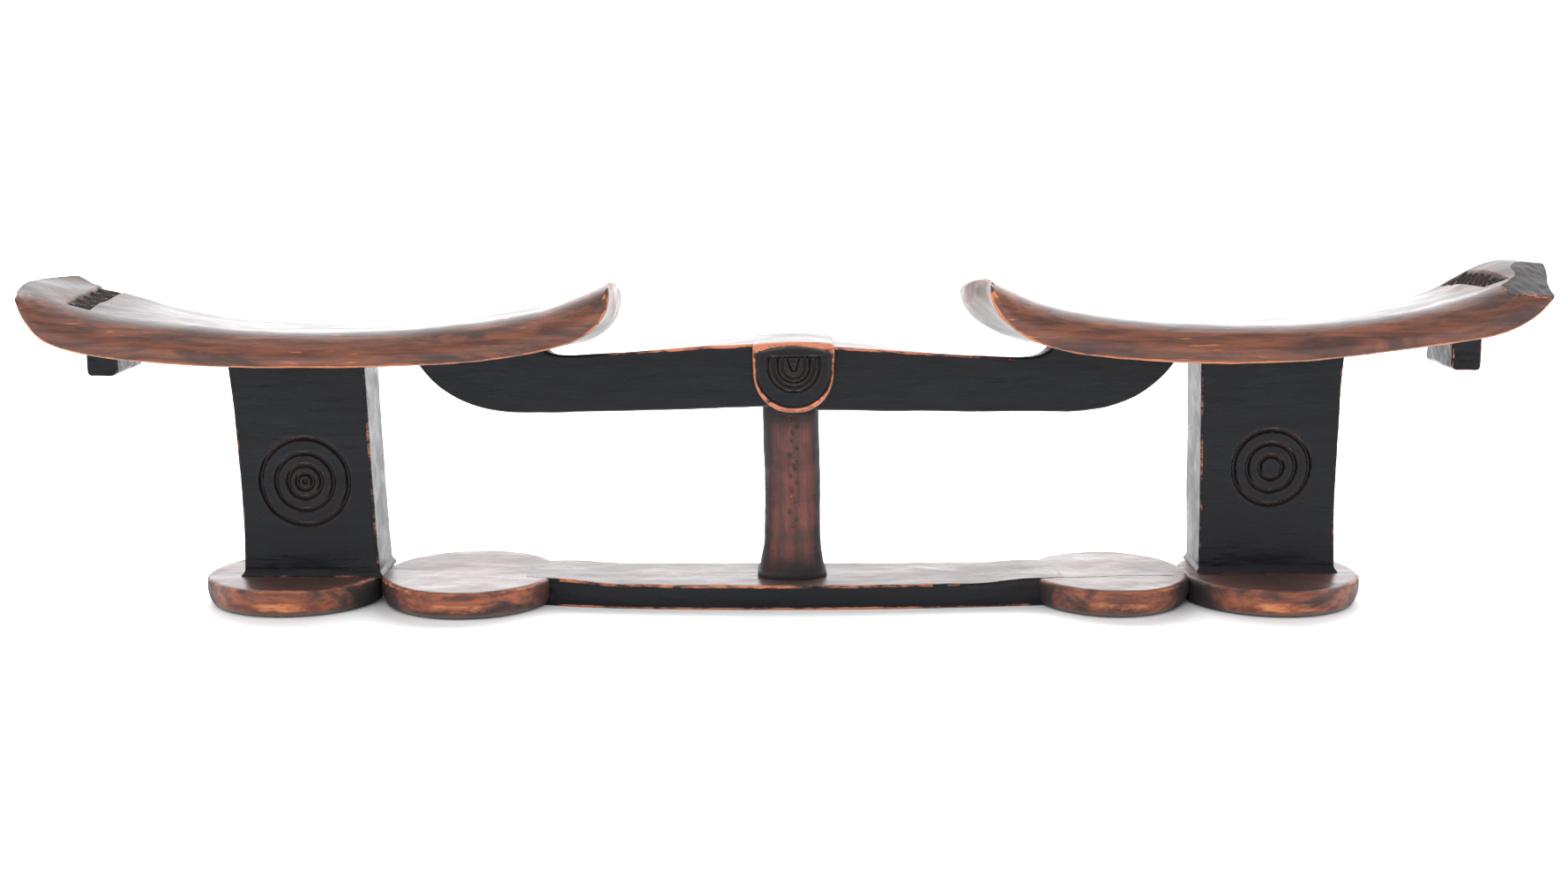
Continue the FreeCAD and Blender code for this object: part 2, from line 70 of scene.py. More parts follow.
camera_data = bpy.data.cameras.new("camera")
camera_data.lens = 42.52
camera_data.sensor_width = 36.0
camera = bpy.data.objects.new("camera", camera_data)
camera.location = (-0.005, -0.7772, 0.2116)
LOOKS_DOWN = 10.4
camera.rotation_euler = (math.radians(90 - LOOKS_DOWN), 0, 0)
scene.collection.objects.link(camera)
scene.camera = camera

world = bpy.data.worlds.new("white surround")
world.use_nodes = True
FRONT_LIGHT = 1.0
BACK_LIGHT = 3.1
LIGHT_TURNS = (-0.35, 0.75)
air = world.node_tree
ray = air.nodes.new("ShaderNodeTexCoord")
split = air.nodes.new("ShaderNodeSeparateXYZ")
towards_back = air.nodes.new("ShaderNodeMapRange")
towards_back.interpolation_type = "SMOOTHSTEP"
for label, value in zip(("From Min", "From Max", "To Min", "To Max"),
                        (*LIGHT_TURNS, FRONT_LIGHT, BACK_LIGHT)):
    towards_back.inputs[label].default_value = value
air.links.new(ray.outputs["Generated"], split.inputs["Vector"])
air.links.new(split.outputs["Y"], towards_back.inputs["Value"])
air.nodes["Background"].inputs["Color"].default_value = (0.985, 0.99, 1.0, 1)
air.links.new(towards_back.outputs["Result"], air.nodes["Background"].inputs["Strength"])
scene.world = world


def panel(name, spot, aim, width, height, power):
    """A soft rectangular light at spot, facing aim."""
    data = bpy.data.lights.new(name, "AREA")
    data.shape = "RECTANGLE"
    data.size = width
    data.size_y = height
    data.energy = power
    lamp = bpy.data.objects.new(name, data)
    lamp.location = spot
    lamp.rotation_euler = (Vector(aim) - Vector(spot)).to_track_quat("-Z", "Y").to_euler()
    scene.collection.objects.link(lamp)
    lamp.visible_camera = False
    return lamp


panel("top panel", (-0.4, -0.9, 1.8), (0, 0, 0.05), 1.6, 1.0, 4)
rear_panel = panel("rear floor panel", (0, 1.7, 1.3), (0, 1.0, 0), 3.4, 1.0, 50)
rear_panel.visible_glossy = False

floor_mesh = bmesh.new()
bmesh.ops.create_grid(floor_mesh, x_segments=1, y_segments=1, size=30)
floor_data = bpy.data.meshes.new("floor")
floor_mesh.to_mesh(floor_data)
floor_mesh.free()
floor = bpy.data.objects.new("floor", floor_data)
scene.collection.objects.link(floor)
paper = bpy.data.materials.new("white paper")
paper.use_nodes = True
paper_shader = paper.node_tree.nodes["Principled BSDF"]
paper_shader.inputs["Base Color"].default_value = (0.93, 0.93, 0.93, 1)
paper_shader.inputs["Roughness"].default_value = 0.9
paper_shader.inputs["Specular IOR Level"].default_value = 0.1
floor_data.materials.append(paper)
print("lights:", [lamp.name for lamp in bpy.data.lights])

# %% [markdown]
# ## Curves to carve along
#
# Every long member is drawn as two curves, one along its underside and one along its top.
# A curve could be a table of points, but a few Bezier pieces say the same with less, and
# each one can be bent by moving a single handle. `Path` joins the pieces and walks along
# them by length, so that stations can be spaced evenly. `smooth` blends one shape into the
# next without a corner, and `spread` sets more stations where a member needs them.

# %% Paths made of Bezier pieces
class Path:
    """Bezier pieces joined end to end. A piece is four spots (x, z) in millimetres."""

    def __init__(self, *pieces, steps=60):
        self.spots = []
        for piece in pieces:
            handles = [Vector((x, 0, z)) * MM for x, z in piece]
            fresh = interpolate_bezier(*handles, steps)
            self.spots += fresh[1:] if self.spots else fresh
        self.reach = [0.0]
        for before, after in zip(self.spots, self.spots[1:]):
            self.reach.append(self.reach[-1] + (after - before).length)

    def at(self, share):
        """The spot at a share of the whole length, from 0 to 1."""
        goal = min(max(share, 0.0), 1.0) * self.reach[-1]
        low, high = 0, len(self.reach) - 1
        while high - low > 1:
            middle = (low + high) // 2
            if self.reach[middle] <= goal:
                low = middle
            else:
                high = middle
        span = self.reach[high] - self.reach[low]
        return self.spots[low].lerp(self.spots[high], (goal - self.reach[low]) / span)


def smooth(value, low=0.0, high=1.0):
    """0 below low, 1 above high, and an easy curve between them."""
    t = min(max((value - low) / (high - low), 0.0), 1.0)
    return t * t * (3 - 2 * t)


def spread(*zones):
    """Shares from 0 to 1 in zones: each zone is where it ends and how many steps it has."""
    shares, start = [0.0], 0.0
    for end, steps in zones:
        shares += [start + (end - start) * (k + 1) / steps for k in range(steps)]
        start = end
    return shares


print("shares:", spread((0.1, 2), (0.9, 4), (1.0, 2)))

# %% [markdown]
# ## A block to carve from
#
# A carver starts from a squared block, and so does this. `block` cuts a cube into a grid of
# small faces, closer together where an edge or an ornament will be. `carve` then moves every
# corner of that grid to its place on the member. Rounding is part of the same move: `eased`
# turns a square corner of a section into a round one, without adding a face.

# %% Blocks and rounded sections
def block(along, back, up):
    """A unit block with its grid lines at the given shares along X, Y and Z."""
    bm = bmesh.new()
    bmesh.ops.create_cube(bm, size=1.0, matrix=Matrix.Translation((0.5, 0.5, 0.5)))
    for axis, shares in enumerate((along, back, up)):
        edges = [e for e in bm.edges
                 if abs((e.verts[1].co - e.verts[0].co)[axis]) > 0.5]
        bmesh.ops.subdivide_edges(bm, edges=edges, cuts=len(shares) - 2, use_grid_fill=True)
    for v in bm.verts:
        for axis, shares in enumerate((along, back, up)):
            v.co[axis] = shares[round(v.co[axis] * (len(shares) - 1))]
    return bm


def carve(bm, place):
    """Move every grid corner to where place(along, back, up) says."""
    for v in bm.verts:
        v.co = place(*v.co)


def eased(a, b, half_a, half_b, round_a, round_b):
    """Round a section's corner: a spot in the corner's square moves onto its ellipse."""
    over_a = (abs(a) - (half_a - round_a)) / round_a
    over_b = (abs(b) - (half_b - round_b)) / round_b
    if over_a <= 0 or over_b <= 0:
        return a, b
    shrink = max(over_a, over_b) / math.hypot(over_a, over_b)
    return (math.copysign(half_a - round_a + over_a * shrink * round_a, a),
            math.copysign(half_b - round_b + over_b * shrink * round_b, b))


# %% [markdown]
# ## Hand-carved surfaces
#
# A knife and an adze leave a surface that is nearly true but never flat. `waver` moves every
# corner a few tenths of a millimetre by a slow noise of its place, so that two members that
# meet move together and the joint between them stays closed. `grade` then measures how
# sharply the surface bends. Where it bends outwards, hands have rubbed the stain away, and
# in a hollow wax and dirt stay. The materials read both measures as attributes.

# %% Finishing helpers
def waver(bm, depth=0.3, size=24.0):
    """Uneven the surface by a slow noise, less so close to the ground."""
    for v in bm.verts:
        spot = v.co / (size * MM)
        push = noise.noise_vector(spot) + noise.noise_vector(spot * 3.3) * 0.35
        v.co += push * depth * MM * (0.15 + 0.85 * smooth(v.co.z, 0.001, 0.006))


def near(spots, bm, reach):
    """For every corner, 1 at the spots, falling to 0 at reach millimetres from them."""
    if not spots:
        return [0.0] * len(bm.verts)
    tree = kdtree.KDTree(len(spots))
    for k, spot in enumerate(spots):
        tree.insert(spot, k)
    tree.balance()
    return [max(0.0, 1 - tree.find(v.co)[2] / (reach * MM)) for v in bm.verts]


SHARP_ANGLE = 50


def grade(bm, wear_reach, dirt_reach, tight, apart):
    """How near each corner is to an outer bend, and to an inner bend, tighter than tight.

    An outer bend closer than apart to an inner one is a cut's own lip, and stays stained.
    """
    bm.normal_update()
    outer, inner = [], []
    for v in bm.verts:
        bends = []
        for e in v.link_edges:
            step = e.other_vert(v).co - v.co
            bends.append(-2 * v.normal.dot(step) / max(step.length_squared, 1e-12))
        if max(bends) > 1 / (tight * MM):
            outer.append(v.co.copy())
        if min(bends) < -1 / (tight * MM):
            inner.append(v.co.copy())
    if inner:
        lips = kdtree.KDTree(len(inner))
        for k, spot in enumerate(inner):
            lips.insert(spot, k)
        lips.balance()
        outer = [spot for spot in outer if lips.find(spot)[2] > apart * MM]
    return near(outer, bm, wear_reach), near(inner, bm, dirt_reach)


def finished(name, bm, nodes, material, wear=1.2, dirt=1.6, tight=2.2, apart=2.4,
             rubbed=None, shaded=None):
    """Turn a carved bmesh into a piece that stands for its nodes.

    wear and dirt are how far they reach from an outer and an inner bend tighter than tight.
    rubbed(spot, worn) corrects the wear at a spot in mm; shaded(spot) adds a dark colour:
    painted shade on the lobes and the column, and dark raw wood on the platforms.
    """
    bmesh.ops.remove_doubles(bm, verts=bm.verts, dist=0.002 * MM)
    bmesh.ops.recalc_face_normals(bm, faces=bm.faces)
    worn, dirty = grade(bm, wear, dirt, tight, apart)
    if rubbed:
        worn = [rubbed(v.co / MM, w) for w, v in zip(worn, bm.verts)]
    shade = [shaded(v.co / MM) if shaded else 0.0 for v in bm.verts]
    open_edges = sum(len(e.link_faces) != 2 for e in bm.edges)
    for face in bm.faces:
        face.smooth = True
    mesh = bpy.data.meshes.new(name)
    bm.to_mesh(mesh)
    bm.free()
    for label, values in (("worn", worn), ("dirty", dirty), ("shade", shade)):
        layer = mesh.attributes.new(label, "FLOAT", "POINT")
        layer.data.foreach_set("value", values)
    mesh.set_sharp_from_angle(angle=math.radians(SHARP_ANGLE))
    mesh.materials.append(material)
    piece = bpy.data.objects.new(name, mesh)
    scene.collection.objects.link(piece)
    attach(piece, "root")
    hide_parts(*nodes)
    print(name, "faces", len(mesh.polygons), "open edges", open_edges)
    return piece


def box_mm(node):
    """A node's lowest and highest corners in millimetres."""
    low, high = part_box(node)
    return Vector(low) / MM, Vector(high) / MM


# %% [markdown]
# ## Stained, waxed and worn wood
#
# The whole headrest is one piece of wood, so all its finishes share one recipe and their
# grain runs the same way, along the block. Each finish is layered as the real one is: the
# bare wood with its grain, the staining over it, darker in blotches, bare wood again where
# hands have rubbed the edges, and dirt in the hollows. Two layers are painted light, the
# second only in part. Faces that look up take a grey top colour as a painted sheen. Where a
# member's shade attribute is set, a dark colour is laid on: painted shade on the column and
# the lobes, and darker, rougher raw wood on the platforms. A gloss that varies and a fine
# bump come last. The patterns read Object coordinates, so they run on from member to member.

# %% One recipe for all the wood
class Recipe:
    """A material's nodes, added one at a time and linked by name."""

    def __init__(self, name):
        self.material = bpy.data.materials.new(name)
        self.material.use_nodes = True
        self.tree = self.material.node_tree
        self.shader = self.tree.nodes["Principled BSDF"]
        self.coords = self.tree.nodes.new("ShaderNodeTexCoord").outputs["Object"]

    def node(self, kind, **inputs):
        """Add a node and set or link its inputs by name."""
        made = self.tree.nodes.new("ShaderNode" + kind)
        for label, value in inputs.items():
            self.feed(made.inputs[label.replace("_", " ")], value)
        return made

    def feed(self, socket, value):
        """Link an output to a socket, or set a plain value on it."""
        if isinstance(value, bpy.types.NodeSocket):
            self.tree.links.new(value, socket)
        else:
            socket.default_value = value

    def placed(self, scale, turn=(0, 0, 0)):
        """Object coordinates, scaled and turned."""
        made = self.node("Mapping", Vector=self.coords)
        made.inputs["Scale"].default_value = scale
        made.inputs["Rotation"].default_value = turn
        return made.outputs["Vector"]

    def noise(self, scale, size=1.0, detail=4.0, rough=0.55, twist=0.0):
        made = self.node("TexNoise", Vector=self.placed(scale), Scale=size, Detail=detail,
                         Roughness=rough, Distortion=twist)
        return made.outputs["Fac"]

    def ramp(self, value, low, high, start=0.0, end=1.0):
        """An easy curve from start at low to end at high."""
        made = self.node("MapRange", Value=value)
        made.interpolation_type = "SMOOTHSTEP"
        for label, limit in zip(("From Min", "From Max", "To Min", "To Max"),
                                (low, high, start, end)):
            made.inputs[label].default_value = limit
        return made.outputs["Result"]

    def sum(self, kind, a, b):
        """Two values added, multiplied and so on."""
        made = self.tree.nodes.new("ShaderNodeMath")
        made.operation = kind
        self.feed(made.inputs[0], a)
        self.feed(made.inputs[1], b)
        return made.outputs[0]

    def mix(self, share, below, above):
        """One colour laid over another."""
        made = self.tree.nodes.new("ShaderNodeMix")
        made.data_type = "RGBA"
        self.feed(made.inputs["Factor"], share)
        for label, value in (("A", below), ("B", above)):
            socket = [s for s in made.inputs if s.name == label and s.type == "RGBA"][0]
            self.feed(socket, value)
        return [s for s in made.outputs if s.type == "RGBA"][0]

    def attribute(self, label):
        made = self.tree.nodes.new("ShaderNodeAttribute")
        made.attribute_name = label
        return made.outputs["Fac"]


def colour(red, green, blue):
    """A colour from the 0 to 255 values of a paint chart, as a shader wants it."""
    values = [c / 255 for c in (red, green, blue)]
    return [c / 12.92 if c < 0.04045 else ((c + 0.055) / 1.055) ** 2.4 for c in values] + [1]


RAW_WOOD = colour(104, 94, 92)
GRIME = colour(34, 27, 25)
SCRATCH_TURNS = (0.6, -0.9)
BUMP_HEIGHT = 0.00035


def wood(name, light, deep, blotch, bare, top, dark, gloss, streaks, blotches, rub_start,
         run=(1, 0, 0), ior=1.45, scratches=False):
    """Stained wood: bare is the rubbed colour, top is a painted sheen on faces that look up,
    and dark is painted shade on some members and dark raw wood on others.

    gloss is the roughness, streaks and blotches are how strong they show, rub_start is the
    wear at which bare wood comes through, and run is 1 on the axis the grain follows.
    """
    r = Recipe(name)
    grain = r.noise([26 if k else 380 for k in run], detail=5, rough=0.62, twist=0.3)
    fibre = r.noise([110 if k else 1700 for k in run], detail=3, rough=0.6)
    cloud = r.noise((22, 75, 75), detail=5, rough=0.6, twist=0.7)
    fleck = r.noise((150, 420, 420), detail=4, rough=0.7)
    tone = r.mix(r.ramp(grain, 0.36, 0.66), light, deep)
    tone = r.mix(r.sum("MULTIPLY", r.ramp(fibre, 0.5, 0.75), streaks), tone, deep)
    tone = r.mix(r.sum("MULTIPLY", r.ramp(cloud, 0.46, 0.62), blotches), tone, blotch)
    tone = r.mix(r.sum("MULTIPLY", r.ramp(fleck, 0.6, 0.74), blotches * 0.7), tone, blotch)
    up = r.node("SeparateXYZ", Vector=r.tree.nodes.new("ShaderNodeNewGeometry")
                .outputs["Normal"]).outputs["Z"]
    # Painted sheen: faces that look up take the top colour.
    flat = r.sum("MULTIPLY", r.ramp(up, 0.82, 0.97), r.ramp(cloud, 0.25, 0.6, 0.97, 0.8))
    tone = r.mix(flat, tone, top)
    tone = r.mix(r.ramp(up, -0.3, -0.62), tone, RAW_WOOD)
    # The dark colour where the shade attribute is set: painted shade on the lobes and the column,
    # dark raw wood on the platforms.
    stain_and_shade = r.sum("MULTIPLY", r.attribute("shade"), r.ramp(cloud, 0.3, 0.6, 0.8, 1.1))
    tone = r.mix(r.ramp(stain_and_shade, 0.0, 1.0), tone, dark)
    rub = r.sum("MULTIPLY", r.attribute("worn"), r.ramp(fleck, 0.25, 0.62, 0.6, 1.1))
    rub = r.sum("MULTIPLY", rub, r.ramp(cloud, 0.3, 0.55, 1.15, 0.75))
    tone = r.mix(r.ramp(rub, rub_start, rub_start + 0.5), tone, bare)
    for turn in SCRATCH_TURNS if scratches else ():
        line = r.node("TexNoise", Vector=r.placed((70, 70, 1100), (0, turn, 0)), Scale=1.0,
                      Detail=1.0).outputs["Fac"]
        scratch = r.sum("MULTIPLY", r.ramp(line, 0.71, 0.76), r.ramp(cloud, 0.42, 0.5, 1, 0))
        tone = r.mix(r.sum("MULTIPLY", scratch, 0.6), tone, bare)
    grime = r.ramp(r.attribute("dirty"), 0.05, 0.9, 0.0, 0.8)
    tone = r.mix(grime, tone, GRIME)
    r.feed(r.shader.inputs["Base Color"], tone)
    shine = r.ramp(r.sum("ADD", cloud, r.sum("MULTIPLY", fibre, 0.4)), 0.4, 0.9,
                   gloss - 0.07, gloss + 0.12)
    shine = r.sum("ADD", shine, r.sum("MULTIPLY", r.attribute("shade"), 0.4))
    shine = r.sum("ADD", shine, r.sum("MULTIPLY", rub, 0.25))
    r.feed(r.shader.inputs["Roughness"], shine)
    r.shader.inputs["IOR"].default_value = ior
    pits = r.node("TexVoronoi", Vector=r.placed((150, 260, 260)), Scale=1.0)
    pit = r.ramp(pits.outputs["Distance"], 0.06, 0.22)
    tool = r.noise((60, 110, 240), detail=2, rough=0.5, twist=0.4)
    height = r.sum("ADD", r.sum("MULTIPLY", fibre, 0.35), r.sum("MULTIPLY", grain, 0.5))
    height = r.sum("ADD", height, r.sum("MULTIPLY", tool, 1.6))
    height = r.sum("ADD", height, r.sum("MULTIPLY", pit, 0.25))
    bump = r.node("Bump", Strength=0.5, Distance=BUMP_HEIGHT, Height=height)
    r.feed(r.shader.inputs["Normal"], bump.outputs["Normal"])
    return r.material


# This dark colour is painted shade on the lobes and dark raw wood on the platforms.
DARK_STAIN_AND_SHADE = colour(36, 30, 31)
# Every top colour below is a painted sheen on faces that look up.
platform_wood = wood("platform wood", light=colour(122, 70, 48), deep=colour(78, 46, 36),
                     blotch=colour(44, 30, 30), bare=colour(196, 120, 78),
                     top=colour(58, 50, 51), dark=DARK_STAIN_AND_SHADE, gloss=0.26, streaks=0.45,
                     blotches=0.75, rub_start=0.42, scratches=True)
black_wood = wood("black wood", light=colour(13, 16, 24), deep=colour(7, 8, 12),
                  blotch=colour(20, 19, 23), bare=colour(196, 122, 92),
                  top=colour(84, 70, 68), dark=colour(11, 11, 13), gloss=0.25, streaks=0.35,
                  blotches=0.4, rub_start=0.52, ior=1.3)
# Its dark colour is painted shade on the column.
red_wood = wood("red wood", light=colour(112, 52, 38), deep=colour(66, 34, 30),
                blotch=colour(38, 25, 25), bare=colour(190, 96, 58),
                top=colour(60, 46, 46), dark=colour(26, 21, 23), gloss=0.25, streaks=0.5,
                blotches=0.5, rub_start=0.5, run=(0, 0, 1))
foot_wood = wood("foot wood", light=colour(158, 86, 54), deep=colour(98, 54, 42),
                 blotch=colour(46, 33, 35), bare=colour(216, 138, 90),
                 top=colour(76, 62, 60), dark=DARK_STAIN_AND_SHADE, gloss=0.26, streaks=0.4,
                 blotches=0.85, rub_start=0.4)
print("finishes:", [m.name for m in bpy.data.materials if "wood" in m.name])

# %% [markdown]
# ## The two head platforms
#
# Each platform is a long tray, dished along its length, with the section of a loaf: a flat
# belly with sharp lower edges, and an upper edge that rolls over to the polished top. Its
# two curves are the belly line and the top line. The right one ends in a rough slanting cut.
# Near each outer end a narrow strip is sunk into the top and filled with a zigzag.

# %% Draw the platform lines
left_belly = Path([(-315.2, 131.5), (-314.0, 125.0), (-311.0, 120.0), (-305.0, 115.4)],
                  [(-305.0, 115.4), (-290.0, 107.6), (-250.0, 104.8), (-196.0, 104.7)],
                  [(-196.0, 104.7), (-150.0, 104.7), (-110.0, 108.0), (-92.0, 114.6)],
                  [(-92.0, 114.6), (-80.0, 119.5), (-74.5, 128.0), (-75.7, 137.6)])
left_top = Path([(-315.4, 135.8), (-303.0, 130.4), (-292.0, 127.2), (-280.0, 124.6)],
                [(-280.0, 124.6), (-250.0, 119.2), (-220.0, 117.8), (-196.0, 117.7)],
                [(-196.0, 117.7), (-160.0, 117.7), (-125.0, 121.2), (-104.0, 127.2)],
                [(-104.0, 127.2), (-93.0, 130.7), (-83.0, 135.0), (-77.0, 138.5)])
right_belly = Path([(78.0, 138.6), (77.5, 130.0), (83.0, 122.0), (97.4, 115.2)],
                   [(97.4, 115.2), (112.0, 109.0), (145.0, 106.6), (176.0, 106.6)],
                   [(176.0, 106.6), (215.0, 106.5), (250.0, 112.5), (279.0, 117.0)],
                   [(279.0, 117.0), (293.0, 119.5), (301.0, 126.0), (306.0, 133.4)],
                   [(306.0, 133.4), (309.5, 134.9), (314.0, 136.0), (318.2, 136.4)])
right_top = Path([(79.4, 139.8), (88.0, 135.0), (97.0, 130.5), (108.0, 127.5)],
                 [(108.0, 127.5), (135.0, 121.2), (165.0, 120.2), (194.0, 120.2)],
                 [(194.0, 120.2), (225.0, 120.2), (255.0, 125.5), (277.0, 133.2)],
                 [(277.0, 133.2), (287.0, 137.0), (294.0, 142.4), (318.9, 142.6)])
print("left belly is", round(left_belly.reach[-1] / MM), "mm long")

# %% [markdown]
# ## The zigzag strip and the slanting cut
#
# The strip and the cut are told as functions of a spot seen from above. A strip could be a
# piece of its own, laid in, but the real one is sunk into the tray, so its depth is taken
# off the top. The zigzag is what the knife left standing.

# %% Sink a strip and cut a tip
ZIGZAG_WIDTH = 0.8
RIDGE_DEPTH = 0.5
GROUND_DEPTH = 1.3


class Strip:
    """A sunk strip: its middle at the front end, its lean, half width, ends and teeth."""

    def __init__(self, middle, lean, half, front, back, tooth):
        self.middle, self.lean, self.half = middle, lean, half
        self.front, self.back, self.tooth = front, back, tooth

    def depth(self, x, y):
        """How deep the strip is cut at a spot, in millimetres."""
        across = x - self.middle - self.lean * (y - self.front)
        inside = smooth(self.half - abs(across), 0.0, 0.7)
        inside *= smooth(y - self.front, 0.0, 0.7) * smooth(self.back - y, 0.0, 0.7)
        if inside <= 0:
            return 0.0
        turn = (y - self.front) / self.tooth % 1.0
        line = (4 * abs(turn - 0.5) - 1) * self.half * ZIGZAG_WIDTH
        cut = smooth(abs(across - line), 0.5, 1.5)
        return inside * (RIDGE_DEPTH + GROUND_DEPTH * cut)


def tip_cut(x, y):
    """The height of the slanting cut across the right platform's outer end."""
    ripple = noise.noise(Vector((x / 2.5, y / 6, 3.3))) * 0.45
    front = smooth(-y, 8.0, 30.0)
    slant = 0.19 * (x - 285.1) * (1 - front)
    return 138.4 - slant + 0.25 * (y + 31.0) + ripple - 3.6 * front * smooth(x, 284.0, 288.5)


LEFT_STRIP = Strip(-294.6, -0.02, 4.9, -21.0, 25.0, 8.8)
RIGHT_STRIP = Strip(289.2, -0.156, 5.2, -14.5, 20.5, 5.0)
print("strip depth on its middle line:", round(LEFT_STRIP.depth(-294.6, 0.0), 2), "mm")

# %% [markdown]
# ## The trays themselves
#
# Both platforms are carved by one function. It takes the two curves, the strip, the slope of
# the top towards the front and how its tip is lifted. The inner tips droop at the back, and
# each outer tip is bowed or cut in its own way, since the two were carved by eye.

# %% Carve the platforms
FRONT_ROLL = (12.5, 10.5)
BACK_ROLL = (4.5, 5.0)
CUT_SHORTENS = 0.053
BELLY_TUCK = 0.9
TOP_DROOP, BELLY_DROOP = 6.0, 7.5
INNER_SKEW = 6.5
TIP_BOW, TIP_SKEW = 3.8, 7.5
STRIP_ABOVE = 118
CUT_BEYOND = 284


def head_platform(node, belly, top, strip, slope, inner_first, tip_lift, end_cut=None):
    """A dished tray from its belly line to its top line, with one outer and one inner tip."""
    low, high = box_mm(node)
    middle = (low.y + high.y) / 2
    half = (high.y - low.y) / 2
    if inner_first:
        along = spread((0.06, 24), (0.84, 130), (0.96, 56), (1.0, 22))
    else:
        along = spread((0.04, 22), (0.16, 56), (0.94, 130), (1.0, 24))
    bm = block(along, spread((0.16, 16), (0.84, 60), (1.0, 16)), spread((0.1, 3), (1.0, 14)))

    def place(u, v, w):
        inner = 1 - u if inner_first else u
        outer = 1 - inner
        side = (v - 0.5) * 2
        share = u
        if end_cut:
            short = CUT_SHORTENS * (1 - smooth(v, 0.0, 0.85))
            share = u * (1 - short * smooth(u, 0.5, 1.0))
        under, over = belly.at(share) / MM, top.at(share) / MM
        thick = (over - under).length
        level = w * thick
        depth = side * half
        roll_back, roll_up = BACK_ROLL if v > 0.5 else FRONT_ROLL
        roll_up = min(roll_up, thick * 0.85)
        if level > min(2.0, thick - roll_up):
            depth, level = eased(depth, level, half, thick, roll_back, roll_up)
        else:
            depth, level = eased(depth, thick - level, half, thick, 1.0, min(1.0, thick / 3))
            level = thick - level
        rise = level / thick
        tuck = BELLY_TUCK * (1 - smooth(rise, 0.0, 0.4)) * smooth(abs(side), 0.85, 1.0)
        depth -= math.copysign(tuck, depth)
        spot = under.lerp(over, rise)
        spot.y = middle + depth
        spot.z -= slope * side * rise * smooth(inner, 0.03, 0.3) * smooth(outer, 0.03, 0.3)
        spot.z += tip_lift(outer, side) * rise
        droop = TOP_DROOP * smooth(inner, 0.84, 1.0) * smooth(side, -0.5, 1.0)
        belly_droop = BELLY_DROOP * smooth(inner, 0.7, 0.95) * smooth(side, -0.3, 1.0)
        spot.z -= belly_droop + (droop - belly_droop) * rise
        if end_cut:
            spot.x -= INNER_SKEW * smooth(inner, 0.86, 1.0) * smooth(side, -0.7, 0.7)
        else:
            tip = smooth(outer, 0.93, 1.0)
            spot.x -= TIP_BOW * (1 - side * side) * smooth(outer, 0.97, 1.0)
            spot.x += TIP_SKEW * smooth(side, 0.3, 1.05) * tip
        if w > 0.5:
            spot.z -= strip.depth(spot.x, spot.y)
        if end_cut and rise > 0.2:
            spot.z = min(spot.z, max(end_cut(spot.x, spot.y), under.z + 0.25))
        return spot * MM

    carve(bm, place)
    waver(bm, 0.35, 22.0)

    def shaded(spot):
        if end_cut and spot.x > CUT_BEYOND and abs(spot.z - end_cut(spot.x, spot.y)) < 0.4:
            return 0.9
        rough_tip = 0.3 * smooth(abs(spot.x), 262.0, 300.0)
        near_tip = 1 - smooth(abs(spot.x), 82.0, 96.0)
        rough_tip = max(rough_tip, 0.15 * near_tip * smooth(spot.y, -26.0, -18.0))
        in_strip = strip.depth(spot.x, spot.y) if spot.z > STRIP_ABOVE else 0.0
        return max(rough_tip, min(1.0, in_strip / 1.5))

    def rubbed(spot, worn):
        across = spot.x - strip.middle - strip.lean * (spot.y - strip.front)
        by_strip = abs(across) < strip.half + 3.0 and spot.y > strip.front - 3
        by_strip = by_strip and spot.z > STRIP_ABOVE
        behind = smooth(spot.y, -26.0, -18.0) * (1.3 - 0.5 * smooth(abs(spot.x), 90.0, 110.0))
        return worn * (0.1 if by_strip else 1 - 0.6 * behind)

    return finished(node + "_carved", bm, [node], platform_wood, wear=1.2,
                    dirt=1.2, tight=1.6, apart=1.6, rubbed=rubbed, shaded=shaded)


def left_lift(outer, side):
    """How far the left platform's outer end rises, more so at the back."""
    hump = 1.6 * smooth(outer, 0.78, 0.86) * (1 - smooth(outer, 0.93, 0.98))
    return 1.8 * smooth(outer, 0.66, 0.8) * smooth(side, -0.75, -0.1) + hump * smooth(side, 0, 0.9)


def right_lift(outer, side):
    """How far the right platform's outer end swells before its cut."""
    hump = 2.9 * smooth(outer, 0.8, 0.92) - 2.2 * smooth(outer, 0.93, 1.0)
    return hump * smooth(side, -0.4, 0.5)


head_platform("left_head_platform", left_belly, left_top, LEFT_STRIP, 1.3, False, left_lift)
head_platform("right_head_platform", right_belly, right_top, RIGHT_STRIP, 1.7, True,
              right_lift, tip_cut)

# %% [markdown]
# ## The posts and their rings
#
# A post is a slab with flat faces that leans and widens a little towards its foot. The
# concentric rings on its front are cut with a gouge. They could be a bump in the material,
# but a real cut catches its own shadow, so the front face has a fine grid and the corners
# that fall in a ring sink into it.

# %% Carve the posts
RING_WIDTH = 1.15
RING_CUT = 1.5
POST_EDGE = 0.9
FOOT_FLARE = 1.3
POST_WEAR = 0.72


def rings(x, z, centre, radii):
    """How deep the gouge went at a spot on the front, in millimetres."""
    away = math.hypot(x - centre[0], z - centre[1])
    deep = 0.0
    for radius in radii:
        deep = max(deep, 1 - smooth(abs(away - radius), RING_WIDTH * 0.25, RING_WIDTH))
    return deep * RING_CUT


